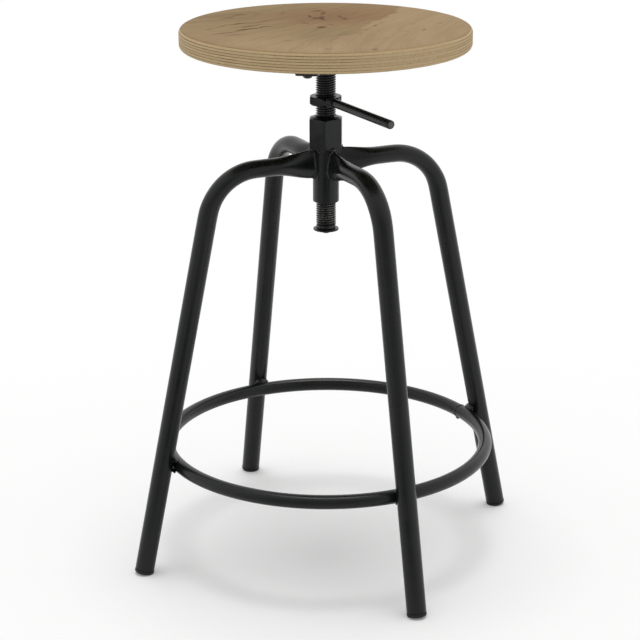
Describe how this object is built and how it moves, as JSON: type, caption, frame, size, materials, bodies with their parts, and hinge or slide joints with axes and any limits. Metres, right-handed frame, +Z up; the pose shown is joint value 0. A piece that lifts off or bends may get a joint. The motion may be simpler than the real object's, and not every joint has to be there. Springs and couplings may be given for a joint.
{
  "type": "bar stool",
  "caption": "Bar stool with a round plywood seat on a threaded spindle, four bent tube legs, a foot ring and a lock nut with a lever.",
  "frame": {"origin": "on the floor under the middle of the spindle", "axes": "+Z up along the spindle; the legs stand on the diagonals, so +X is square to one side of the square that the feet make and +Y is the side that lies at the back in the picture, 20 degrees off its line of sight"},
  "size_m": [0.4434, 0.4434, 0.702],
  "materials": {
    "plywood": "clear matt lacquer over bare ply edges",
    "tube_black": "satin black powder coat",
    "steel_dark": "satin black",
    "nut_black": "satin black",
    "thread_steel": "blackened and oiled",
    "weld": "satin black over weld beads",
    "screw_black": "black zinc",
    "cap_plastic": "matt"
  },
  "bodies": {
    "base": {"hub_tube": "steel_dark", "long_nut": "nut_black", "nut_welds": "weld", "arm_welds": "weld", "leg_back_right": "tube_black", "leg_back_left": "tube_black", "leg_front_left": "tube_black", "leg_front_right": "tube_black", "cap_back_right": "cap_plastic", "cap_back_left": "cap_plastic", "cap_front_left": "cap_plastic", "cap_front_right": "cap_plastic", "foot_ring": "tube_black", "ring_seam": "weld", "ring_welds": "weld"},
    "lift": {"stop_washer": "steel_dark"},
    "seat": {"seat_board": "plywood", "seat_bracket": "steel_dark", "bracket_screws": "screw_black", "bracket_weld": "weld", "spindle": "thread_steel", "stop_screw": "screw_black"},
    "lock": {"lock_nut": "nut_black", "lock_lever": "nut_black", "lever_weld": "weld"}
  },
  "joints": [
    {"name": "seat_height", "type": "slide", "parent": "base", "child": "lift", "axis": [0, 0, 1], "range_m": [-0.0526, 0.0355]},
    {"name": "seat_turn", "type": "hinge", "parent": "lift", "child": "seat", "pos_m": [0, 0, 0.676], "axis": [0, 0, 1], "range_deg": [-6300, 4248]},
    {"name": "lock_turn", "type": "hinge", "parent": "base", "child": "lock", "pos_m": [0, 0, 0.6076], "axis": [0, 0, 1], "range_deg": [-1764, 6300]}
  ],
  "couplings": [
    {"joint": "seat_height", "follows": "seat_turn", "m_per_rad": 0.00047746}
  ]
}
